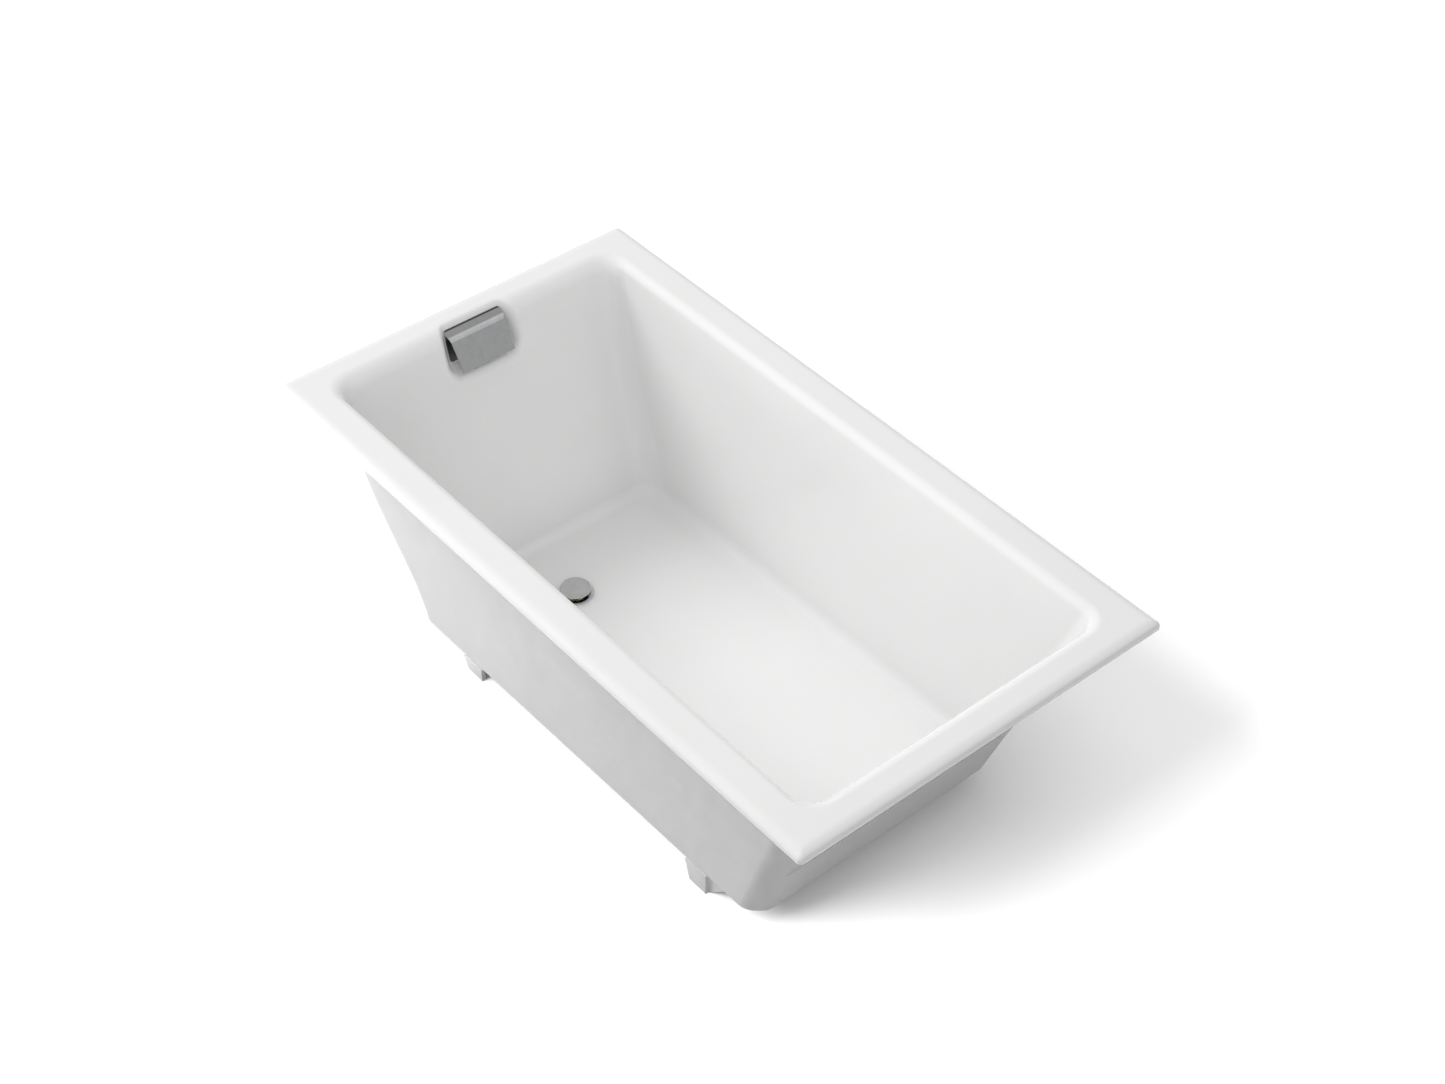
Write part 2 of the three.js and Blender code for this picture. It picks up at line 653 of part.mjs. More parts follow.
// A ribbed nut that presses a rubber ring against the end of a socket. The socket ends at z = 0 and
// lies below it; the pipe leaves upwards.
function slipNut() {
  const ribs = 12;
  const outline = new THREE.Shape();
  for (let i = 0; i < ribs * 4; i++) {
    const angle = (i / (ribs * 4)) * Math.PI * 2;
    const radius = i % 4 < 2 ? NUT_OUTER : NUT_OUTER - 1;
    outline[i ? 'lineTo' : 'moveTo'](radius * Math.cos(angle), radius * Math.sin(angle));
  }
  outline.closePath();
  const body = extrude(outline, 17).translate(0, 0, -11);
  return combine(body, [], [rod(SOCKET_OUTER + GAP, -12, 3.4), rod(PIPE_RADIUS + GAP, 3, 8)]);
}

function slipWasher() {
  return pipe(PIPE_RADIUS + GAP, SOCKET_OUTER, GAP, 3.1);
}

// ---- Overflow -----------------------------------------------------------------------------

const HEAD_DEPTH = 34;

function overflowHead() {
  const front = -WALL - 3.3;
  const flange = extrude(roundedRect(-56, 56, -30, 26, 12), 3).translate(0, 0, front - 3).applyMatrix4(recessFrame);
  const chamber = extrude(roundedRect(-32, 32, -27, 23, 14), HEAD_DEPTH)
    .translate(0, 0, front - HEAD_DEPTH)
    .applyMatrix4(recessFrame);
  const hollow = extrude(roundedRect(-29, 29, -24, 20, 11), HEAD_DEPTH)
    .translate(0, 0, front - HEAD_DEPTH + 3)
    .applyMatrix4(recessFrame);
  const spigotTop = RIM_TOP - RECESS_DROP - 12;
  const spigot = rod(SOCKET_OUTER, HEAD_SPIGOT, spigotTop).translate(STACK_X, 0, 0);
  const bore = rod(PIPE_RADIUS - PIPE_WALL, HEAD_SPIGOT + 18, spigotTop + 3).translate(STACK_X, 0, 0);
  const socket = rod(SOCKET_BORE, HEAD_SPIGOT - 1, HEAD_SPIGOT + 18 + GAP).translate(STACK_X, 0, 0);
  const threads = [-1, 1].map((side) =>
    rod(2.6, front - 4, front + 1, 20).translate(side * SCREW_SPACING / 2, 0, 0).applyMatrix4(recessFrame));
  return combine(flange, [chamber, spigot], [hollow, bore, socket, ...threads]);
}

function overflowGasket() {
  const ring = extrude(roundedRect(-54, 54, -29, 25, 11), 2.7).translate(0, 0, -WALL - 3);
  const window = extrude(roundedRect(-28, 28, -23, 19, 12), 4).translate(0, 0, -WALL - 3.5);
  const holes = [-1, 1].map((side) => rod(SCREW_HOLE, -WALL - 4, -WALL + 1, 20).translate(side * SCREW_SPACING / 2, 0, 0));
  return combine(ring, [], [window, ...holes]).applyMatrix4(recessFrame);
}

const PLATE_FRONT = GAP + 1.7;

function overflowPlate() {
  const plate = extrude(roundedRect(-75, 75, -39, 38, 8), 1.7).translate(0, 0, GAP);
  const slots = [-14, -4, 6].map((b) => extrude(roundedRect(-24, 24, b - 3, b + 3, 2.9), 4).translate(0, 0, -1));
  const holes = [-1, 1].map((side) => rod(SCREW_HOLE, -1, 4, 20).translate(side * SCREW_SPACING / 2, 0, 0));
  return combine(plate, [], [...slots, ...holes]).applyMatrix4(recessFrame);
}

function overflowScrew(side) {
  const head = turned([
    [0, PLATE_FRONT + GAP],
    [5, PLATE_FRONT + GAP],
    [4.8, PLATE_FRONT + 2],
    [3.4, PLATE_FRONT + 2.9],
    [0, PLATE_FRONT + 3.2],
  ], 24);
  const shank = rod(2.3, -WALL - 6.2, PLATE_FRONT + 1, 20);
  const slot = box(-4, 4, -0.5, 0.5, PLATE_FRONT + 2, PLATE_FRONT + 5);
  return combine(head, [shank], [slot]).translate(side * SCREW_SPACING / 2, 0, 0).applyMatrix4(recessFrame);
}

// The bent sheet's outer line, as [out, up, half width]: back lip, top, bend and face.
const HOOD_LINE = [
  [PLATE_FRONT + GAP, 18, 75.5],
  [PLATE_FRONT + GAP, 34.8, 75.5],
  [14.3, 24, 73.9],
  [18, 19.3, 72.6],
  [20.5, 13.4, 71.5],
  [41.4, -55, 68.7],
];

function hood() {
  const line = HOOD_LINE.map(([out, up]) => new THREE.Vector2(out, up));
  const rings = HOOD_LINE.map(([, , half], i) => {
    const along = (a, b) => line[b].clone().sub(line[a]).normalize();
    const before = along(Math.max(i - 1, 0), Math.max(i, 1));
    const after = along(Math.min(i, line.length - 2), Math.min(i + 1, line.length - 1));
    const tangent = before.clone().add(after).normalize();
    const inward = new THREE.Vector2(tangent.y, -tangent.x).multiplyScalar(HOOD_SHEET / tangent.dot(after));
    const inside = line[i].clone().add(inward);
    const corner = (side, p) => new THREE.Vector3(side * half, p.y, p.x);
    return [corner(1, inside), corner(1, line[i]), corner(-1, line[i]), corner(-1, inside)];
  });
  return loft(rings).applyMatrix4(recessFrame);
}

// ---- Assembly -----------------------------------------------------------------------------

add('bath_shell', bathShell(), enamel);
for (const station of FOOT_STATIONS) {
  for (const [flank, side] of [['near', -1], ['far', 1]]) {
    add(`foot_${station.name}_${flank}`, foot(station, side), enamel);
    add(`foot_bolt_${station.name}_${flank}`, footBolt(station, side), steel);
  }
}

add('drain_flange', drainFlange(), chrome);
add('stopper_cap', stopperCap(), chrome);
add('stopper_seal', atDrain(pipe(3.8, 24, ...SEAL, 40)), rubber);
add('stopper_plunger', stopperPlunger(), brass);
add('stopper_spring', stopperSpring(), steel);
add('toe_tap_cartridge', toeTapCartridge(), brass);
add('drain_gasket', atDrain(pipe(BARREL_OUTER + 1, 35, SHOE_FLANGE[1] + GAP, DRAIN_UNDER - GAP, 40)), rubber);
add('drain_shoe', drainShoe(), brass);
add('shoe_pipe', shoePipe(), brass);
add('waste_tee', wasteTee(), brass);
add('overflow_pipe', overflowPipe(), brass);

const joints = {
  shoe_pipe: new THREE.Matrix4().makeRotationY(Math.PI / 2).setPosition(TEE_REACH, 0, 0).premultiply(runFrame),
  overflow_foot: new THREE.Matrix4().makeTranslation(STACK_X, 0, PIPE_Z + TEE_REACH),
  overflow_head: new THREE.Matrix4().makeRotationX(Math.PI).setPosition(STACK_X, 0, HEAD_SPIGOT),
};
for (const [name, matrix] of Object.entries(joints)) {
  add(`${name}_nut`, slipNut().applyMatrix4(matrix), brass);
  add(`${name}_washer`, slipWasher().applyMatrix4(matrix), rubber);
}

add('overflow_head', overflowHead(), brass);
add('overflow_gasket', overflowGasket(), rubber);
add('overflow_plate', overflowPlate(), darkPlate);
add('overflow_screw_near', overflowScrew(-1), steel);
add('overflow_screw_far', overflowScrew(1), steel);
add('overflow_cover', hood(), chrome);

export default bath;
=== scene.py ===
"""Looks for a cast-iron bathtub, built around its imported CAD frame.

Lengths are in millimetres while a shape is worked out, and in metres in every Blender object.
"""

import math

import bmesh
import bpy
import numpy as np
from mathutils import Matrix, Vector


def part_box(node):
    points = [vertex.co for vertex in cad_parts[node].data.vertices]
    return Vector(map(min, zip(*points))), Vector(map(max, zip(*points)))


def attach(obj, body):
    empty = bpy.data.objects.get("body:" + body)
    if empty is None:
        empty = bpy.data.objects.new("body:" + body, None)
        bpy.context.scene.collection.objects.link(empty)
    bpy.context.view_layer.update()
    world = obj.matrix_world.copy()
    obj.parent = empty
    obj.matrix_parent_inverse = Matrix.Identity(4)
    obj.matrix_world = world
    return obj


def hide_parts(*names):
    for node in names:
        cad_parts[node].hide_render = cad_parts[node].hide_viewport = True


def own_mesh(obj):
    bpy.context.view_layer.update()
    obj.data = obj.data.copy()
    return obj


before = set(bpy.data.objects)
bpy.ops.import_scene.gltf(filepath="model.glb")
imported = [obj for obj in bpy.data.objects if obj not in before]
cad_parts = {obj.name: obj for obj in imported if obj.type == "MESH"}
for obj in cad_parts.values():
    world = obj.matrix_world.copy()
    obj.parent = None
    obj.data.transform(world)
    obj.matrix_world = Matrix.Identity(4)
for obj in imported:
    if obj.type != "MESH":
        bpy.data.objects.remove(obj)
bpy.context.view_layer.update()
MM = 0.001

# ---- Dimensions, in millimetres -----------------------------------------------------------

SHELL_LOW, SHELL_HIGH = (np.array(corner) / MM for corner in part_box("bath_shell"))
CAP_LOW, CAP_HIGH = (np.array(corner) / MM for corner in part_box("stopper_cap"))

RIM_LENGTH, RIM_WIDTH = SHELL_HIGH[:2] - SHELL_LOW[:2]
RIM_TOP = SHELL_HIGH[2]
DRAIN_X, DRAIN_Y = (CAP_LOW[:2] + CAP_HIGH[:2]) / 2
RIM_CORNER = 10                   # radius of the rim's corners, seen from above
RIM_PLATE = 9                     # thickness of the rim's flat part
LIP_HEIGHT, LIP_WALL = 22, 10     # the lip that turns down round the rim
LIP_ROUND = 3.5                   # radius of the lip's lower outer edge
EDGE_RUN, EDGE_DROP = 24, 13      # the elliptical round from the flat rim to the lip's outside

# The well. Top and bottom are half widths, or distances along X, at depth 0 and at FLOOR_DEPTH.
WALL = 9
FLOOR_DEPTH, FLOOR_SLOPE, FLOOR_FILLET = 530, 0.0145, 30
LEVEL_DEPTH = 100                 # above this depth the rings are level, below it they tilt
SIDE_TOP, SIDE_BOTTOM, SIDE_ROLL = 369, 322, 20
FOOT_END_TOP, FOOT_END_BOTTOM = 761, 567
WELL_CORNER_TOP, WELL_CORNER_BOTTOM = 45, 58
BACK_ROLL, BACK_ROLL_X, BACK_BLEND = 52, -784, 1.5
BACKREST_DEPTH = (35, 100, 180, 260, 350, 430, 500, 530)
BACKREST_X = (-735, -722, -703, -675, -630, -590, -566, -560)

# The outside, and the skirt that stands below the floor.
OUTER_SIDE_TOP, OUTER_SIDE_BOTTOM = 385, 330
OUTER_FOOT_TOP, OUTER_FOOT_BOTTOM = 769, 580
OUTER_BACK = 14
OUTER_CORNER = 47
UNDER_FILLET = 4
SKIRT, SKIRT_DEPTH, SKIRT_SLOPE = 14, 551.3, 0.0252

# The pad low on the foot end: how far it stands out, its half width, its top and its ledge.
PAD_PROUD, PAD_HALF, PAD_DEPTH, PAD_LEDGE = 4, 294, 373, 0.6
PAD_FADE = (-6, 16)               # where it fades out, from PAD_HALF

DRAIN_HOLE, DRAIN_SEAT, SEAT_DEPTH, DRAIN_FACE = 27, 39, 1.6, 41

# The recess behind the overflow: its back plane leans, and its sides come forward from it.
RECESS_TILT = math.radians(14.6)
RECESS_X, RECESS_DROP = -767, 50
RECESS_HALF, RECESS_LOW, RECESS_CORNER = 78, -48, 14
RECESS_REACH = 125                # how far below its middle the wall is still moved
RECESS_SLOPE = 1.75               # how steeply the sides come forward
RECESS_FOOT_SHARE = 0.6           # and how much more gently the lower end does
RECESS_MOUTH_BLEND, RECESS_BOTTOM_BLEND, RECESS_OUTSIDE_BLEND = 15, 9, 6
FINE_HALF = 128                   # half width of the finely divided strip through the recess


def floor_z(x):
    return RIM_TOP - FLOOR_DEPTH + FLOOR_SLOPE * (x - DRAIN_X)


def smoothstep(x, low, high):
    t = np.clip((x - low) / (high - low), 0, 1)
    return t * t * (3 - 2 * t)


def smooth_min(a, b, k):
    """The smaller of a and b, with the change from one to the other rounded over k."""
    h = np.maximum(k - np.abs(a - b), 0) / k
    return np.minimum(a, b) - h * h * k / 4


def smooth_max(a, b, k):
    return -smooth_min(-a, -b, k)


# ---- Materials ----------------------------------------------------------------------------


class Nodes:
    """Builds one material's node tree."""

    def __init__(self, name):
        self.material = bpy.data.materials.new(name)
        self.material.use_nodes = True
        self.tree = self.material.node_tree
        self.tree.nodes.clear()
        self.shader = self.add("ShaderNodeBsdfPrincipled")
        output = self.add("ShaderNodeOutputMaterial")
        self.link(self.shader.outputs["BSDF"], output.inputs["Surface"])
        self.place = self.add("ShaderNodeTexCoord").outputs["Object"]

    def add(self, kind, **inputs):
        node = self.tree.nodes.new(kind)
        for key, value in inputs.items():
            node.inputs[key.replace("_", " ")].default_value = value
        return node

    def link(self, source, target):
        self.tree.links.new(source, target)

    def stretched(self, scale):
        mapping = self.add("ShaderNodeMapping", Scale=scale)
        self.link(self.place, mapping.inputs["Vector"])
        return mapping.outputs["Vector"]

    def noise(self, scale, detail=4, roughness=0.5, stretch=None):
        node = self.add("ShaderNodeTexNoise", Scale=scale, Detail=detail, Roughness=roughness)
        self.link(self.stretched(stretch) if stretch else self.place, node.inputs["Vector"])
        return node.outputs["Fac"]

    def spread(self, source, low, high, start=0.3, end=0.7):
        """source, a noise from about 0.3 to 0.7, mapped to run from low to high."""
        node = self.add("ShaderNodeMapRange")
        for key, value in (("From Min", start), ("From Max", end), ("To Min", low), ("To Max", high)):
            node.inputs[key].default_value = value
        self.link(source, node.inputs["Value"])
        return node.outputs["Result"]

    def tint(self, source, dark, light, start=0.3, end=0.7):
        ramp = self.add("ShaderNodeValToRGB")
        for stop, (place, colour) in zip(ramp.color_ramp.elements, ((start, dark), (end, light))):
            stop.position = place
            stop.color = (*colour, 1)
        self.link(source, ramp.inputs["Fac"])
        self.link(ramp.outputs["Color"], self.shader.inputs["Base Color"])

    def rough(self, source, low, high):
        self.link(self.spread(source, low, high), self.shader.inputs["Roughness"])

    def bump(self, source, height, strength=1.0, under=None):
        node = self.add("ShaderNodeBump", Strength=strength, Distance=height)
        self.link(source, node.inputs["Height"])
        if under:
            self.link(under, node.inputs["Normal"])
        self.link(node.outputs["Normal"], self.shader.inputs["Normal"])
        return node.outputs["Normal"]

    def fixed(self, **values):
        for key, value in values.items():
            self.shader.inputs[key.replace("_", " ")].default_value = value


def grey(value, warm=0.0):
    """A grey, a little warmer or, below 0, cooler than neutral."""
    return (value * (1 + warm), value, value * (1 - warm))


def enamel_material():
    """Thick glossy porcelain enamel, fired over cast iron: a faint orange peel and slow ripples."""
    m = Nodes("porcelain_enamel")
    cloud = m.noise(3.0, 3)
    m.tint(cloud, grey(0.84, 0.002), grey(0.86, 0.002))
    m.rough(m.noise(9.0, 5), 0.10, 0.17)
    ripple = m.bump(m.noise(14.0, 2), 0.00025, 0.2)
    m.bump(m.noise(320.0, 2), 0.00004, 0.35, ripple)
    m.fixed(Specular_IOR_Level=0.5, Coat_Weight=0.35, Coat_Roughness=0.06, IOR=1.5)
    return m.material


def outside_coat_material():
    """The outside of the casting: a thin satin coat over sand-cast iron. Its white is set darker than
    the enamel's as painted shade for the outside walls, which sit in shade under the rim.
    """
    m = Nodes("satin_coat_painted_shade")
    # Painted shade: this grey, darker than the enamel, stands for the shade on the outside walls and
    # feet; the satin roughness and cast texture are the coat's own.
    m.tint(m.noise(5.0, 5), grey(0.72, 0.002), grey(0.75, 0.002))
    m.rough(m.noise(30.0, 5), 0.42, 0.58)
    slow = m.bump(m.noise(24.0, 3), 0.0006, 0.25)
    m.bump(m.noise(420.0, 4, 0.6), 0.00012, 0.4, slow)
    m.fixed(Specular_IOR_Level=0.4)
    return m.material


def chrome_material(name, light, dark, low, high):
    """Polished plate with hairline scratches and a little haze."""
    m = Nodes(name)
    m.tint(m.noise(60.0, 3), dark, light)
    scratches = m.noise(900.0, 3, 0.6, (1.0, 0.04, 1.0))
    m.rough(m.noise(180.0, 5), low, high)
    m.bump(scratches, 0.00001, 0.3)
    m.fixed(Metallic=1.0)
    return m.material


def brushed_material(name, light, dark, low, high, stretch):
    """Bare or satin metal whose grain runs along the axis with the smallest stretch."""
    m = Nodes(name)
    grain = m.noise(700.0, 5, 0.65, stretch)
    m.tint(grain, dark, light)
    m.rough(grain, low, high)
    m.bump(grain, 0.00004, 0.35)
    m.fixed(Metallic=1.0)
    return m.material


def rubber_material():
    m = Nodes("black_rubber")
    m.tint(m.noise(120.0, 5), grey(0.012), grey(0.03))
    m.rough(m.noise(260.0, 4), 0.6, 0.85)
    m.bump(m.noise(900.0, 3), 0.00005, 0.5)
    return m.material


ENAMEL = enamel_material()
OUTSIDE_COAT = outside_coat_material()
CHROME = chrome_material("chrome_plate", grey(0.49, -0.010), grey(0.45, -0.010), 0.10, 0.18)
BRIGHT = chrome_material("chrome_bright", grey(0.62, -0.006), grey(0.56, -0.006), 0.06, 0.12)
# Painted shade: the overflow's backing plate is near black to stand for the shade in the gap behind
# the cover; its brushed grain is its own.
SHADED_PLATE = brushed_material(
    "backing_plate_painted_shade", grey(0.11), grey(0.07), 0.28, 0.42, (1.0, 0.03, 1.0),
)
BRASS = brushed_material(
    "drawn_brass", (0.62, 0.43, 0.17), (0.50, 0.33, 0.12), 0.24, 0.42, (0.2, 0.2, 1.0),
)
STEEL = brushed_material(
    "zinc_plated_steel", grey(0.52, -0.02), grey(0.38, -0.02), 0.25, 0.42, (1.0, 1.0, 0.4),
)
RUBBER = rubber_material()

# ---- Making meshes ------------------------------------------------------------------------


def new_object(name, vertices, faces, materials):
    mesh = bpy.data.meshes.new(name)
    mesh.from_pydata([tuple(v) for v in np.asarray(vertices, float) * MM], [], faces)
    mesh.validate()
    for material in materials:
        mesh.materials.append(material)
    made = bpy.data.objects.new(name, mesh)
    bpy.context.scene.collection.objects.link(made)
    return made


def shade(made, angle=35):
    """Smooth shading with creases at edges sharper than angle."""
    made.data.polygons.foreach_set("use_smooth", [True] * len(made.data.polygons))
    made.data.set_sharp_from_angle(angle=math.radians(angle))


def apply_modifiers(made):
    depsgraph = bpy.context.evaluated_depsgraph_get()
    mesh = bpy.data.meshes.new_from_object(made.evaluated_get(depsgraph))
    made.modifiers.clear()
    made.data = mesh


def settle(made, body, slot, *nodes):
    """Puts a finished piece on its body and in place of CAD nodes. Its slot is not used."""
    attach(made, body)
    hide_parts(*nodes)
    return made


def grid_faces(rows, columns, start=0):
    faces = []
    for row in range(rows - 1):
        low = start + row * columns
        for i in range(columns):
            j = (i + 1) % columns
            faces.append((low + i, low + j, low + columns + j, low + columns + i))
    return faces


# ---- Sections of the casting --------------------------------------------------------------


def through_points(x, y):
    """A cubic through the points, with slopes taken from each point's neighbours."""
    x, y = np.array(x, float), np.array(y, float)
    slope = np.gradient(y, x)

    def value(at):
        at = np.clip(at, x[0], x[-1])
        i = np.clip(np.searchsorted(x, at, side="right") - 1, 0, len(x) - 2)
        width = x[i + 1] - x[i]
        t = (at - x[i]) / width
        return (
            y[i] * (2 * t**3 - 3 * t**2 + 1)
            + slope[i] * width * (t**3 - 2 * t**2 + t)
            + y[i + 1] * (3 * t**2 - 2 * t**3)
            + slope[i + 1] * width * (t**3 - t**2)
        )

    return value


backrest = through_points(BACKREST_DEPTH, BACKREST_X)


def roll(depth, radius):
    """How far a rolled top edge of this radius stands outside the wall below it."""
    return radius - math.sqrt(radius**2 - (radius - depth) ** 2) if depth < radius else 0.0


def filleted(wall, depth, floor_depth, radius):
    """The wall's place at a depth, with a fillet where it meets a floor."""
    lean = math.atan2(abs(wall(floor_depth - radius) - wall(floor_depth)), radius)
    height = floor_depth - depth
    if height >= radius * (1 - math.sin(lean)):
        return wall(depth)
    tangent = radius * math.tan((math.pi / 2 - lean) / 2)
    inset = tangent - math.sqrt(max(0, radius**2 - (radius - height) ** 2))
    return wall(floor_depth) - inset * np.sign(wall(floor_depth))


def back_at(depth, thickness):
    """The back wall's X at a depth, this thickness behind the surface: the roll, then the backrest."""
    rise, radius = BACK_ROLL - depth, BACK_ROLL - thickness
    wall = backrest(depth) - thickness
    if rise <= 0:
        return wall
    on_roll = BACK_ROLL_X + math.sqrt(max(0, radius**2 - rise**2))
    return smooth_min(on_roll, wall, BACK_BLEND)


def drafted(top, bottom):
    """A straight wall that leans from top, at depth 0, to bottom, at the well's floor."""
    return lambda depth: top + (bottom - top) * depth / FLOOR_DEPTH


def well_section(depth):
    """The well at a depth, as outline() takes it: X of both ends, half width and corner radius."""
    edge = roll(depth, SIDE_ROLL)
    at = lambda wall: filleted(wall, depth, FLOOR_DEPTH, FLOOR_FILLET)
    return (
        at(lambda d: back_at(d, 0)),
        at(drafted(FOOT_END_TOP, FOOT_END_BOTTOM)) + edge,
        at(drafted(SIDE_TOP, SIDE_BOTTOM)) + edge,
        drafted(WELL_CORNER_TOP, WELL_CORNER_BOTTOM)(depth) + edge,
    )


def outer_section(depth):
    """The outside at a depth, in the same form."""
    at = lambda wall: filleted(wall, depth, SKIRT_DEPTH, UNDER_FILLET)
    return (
        at(lambda d: back_at(d, OUTER_BACK)),
        at(drafted(OUTER_FOOT_TOP, OUTER_FOOT_BOTTOM)),
        at(drafted(OUTER_SIDE_TOP, OUTER_SIDE_BOTTOM)),
        OUTER_CORNER,
    )


# Points along a long side, a corner, the foot end, and the drain end beside and in the fine strip.
LONG_STEPS, CORNER_STEPS, FOOT_STEPS, SPARE_STEPS, FINE_STEPS = 56, 16, 44, 12, 104


def outline(x0, x1, half, corner):
    """Points of a rounded rectangle, turning left, with the same count whatever its size."""
    x1r, x0r, hr = x1 - corner, x0 + corner, half - corner
    quarter = np.linspace(0, math.pi / 2, CORNER_STEPS, endpoint=False)

    def arc(cx, cy, start):
        return np.c_[cx + corner * np.cos(quarter + start), cy + corner * np.sin(quarter + start)]

    def line(a, b, steps):
        t = np.linspace(0, 1, steps, endpoint=False)[:, None]
        return np.array(a) + (np.array(b) - np.array(a)) * t

    fine = min(FINE_HALF, hr - 4)
    return np.vstack([
        line((x0r, -half), (x1r, -half), LONG_STEPS),
        arc(x1r, -hr, -math.pi / 2),
        line((x1, -hr), (x1, hr), FOOT_STEPS),
        arc(x1r, hr, 0),
        line((x1r, half), (x0r, half), LONG_STEPS),
        arc(x0r, hr, math.pi / 2),
        line((x0, hr), (x0, fine), SPARE_STEPS),
        line((x0, fine), (x0, -fine), FINE_STEPS),
        line((x0, -fine), (x0, -hr), SPARE_STEPS),
        arc(x0r, -hr, math.pi),
    ])


def level(points, z):
    return np.c_[points, np.full(len(points), float(z))]


def sloped(section, depth, slope):
    """A section's ring, tilted about the drain as it nears the floor."""
    points = outline(*section)
    tilt = slope * smoothstep(depth, LEVEL_DEPTH, FLOOR_DEPTH)
    return np.c_[points, RIM_TOP - depth + tilt * (points[:, 0] - DRAIN_X)]


def rim_ring(inset, z):
    """A level ring this far inside the rim's outline."""
    x1, half = RIM_LENGTH / 2 - inset, RIM_WIDTH / 2 - inset
    return level(outline(-x1, x1, half, max(RIM_CORNER - inset / 2, 4)), z)


def between(a, b, t):
    return a + (b - a) * t


# ---- The casting --------------------------------------------------------------------------


def recess_surface(y, up):
    """How far the recess's surface stands in front of its back plane."""
    across = np.abs(y) - (RECESS_HALF - RECESS_CORNER)
    below = (RECESS_LOW + RECESS_CORNER) - up
    past = np.maximum(below - RECESS_CORNER, 0)
    below = below - past * (1 - RECESS_FOOT_SHARE)
    outside = np.hypot(np.maximum(across, 0), np.maximum(below, 0))
    distance = outside + np.minimum(np.maximum(across, below), 0) - RECESS_CORNER
    return smooth_max(distance, 0, RECESS_BOTTOM_BLEND) * RECESS_SLOPE


def sink_recess(points, behind, blend):
    """Moves back-wall points straight back to the recess's surface, or to a wall behind it."""
    moved = points.copy()
    dx, dz = points[:, 0] - RECESS_X, points[:, 2] - (RIM_TOP - RECESS_DROP)
    out = dx * math.cos(RECESS_TILT) + dz * math.sin(RECESS_TILT)
    up = dz * math.cos(RECESS_TILT) - dx * math.sin(RECESS_TILT)
    near = (points[:, 0] < -500) & (np.abs(points[:, 1]) < FINE_HALF) & (up > -RECESS_REACH)
    surface = recess_surface(points[:, 1], up) - behind
    back = np.where(near, out - smooth_min(out, surface, blend), 0)
    moved[:, 0] -= back * math.cos(RECESS_TILT)
    moved[:, 2] -= back * math.sin(RECESS_TILT)
    return moved


def raise_pad(points):
    """The thickened pad low on the outside of the foot end, fading out round the corners."""
    moved = points.copy()
    across = 1 - smoothstep(np.abs(points[:, 1]), *(PAD_HALF + fade for fade in PAD_FADE))
    moved[:, 0] += PAD_PROUD * across * (points[:, 0] > 500)
    return moved


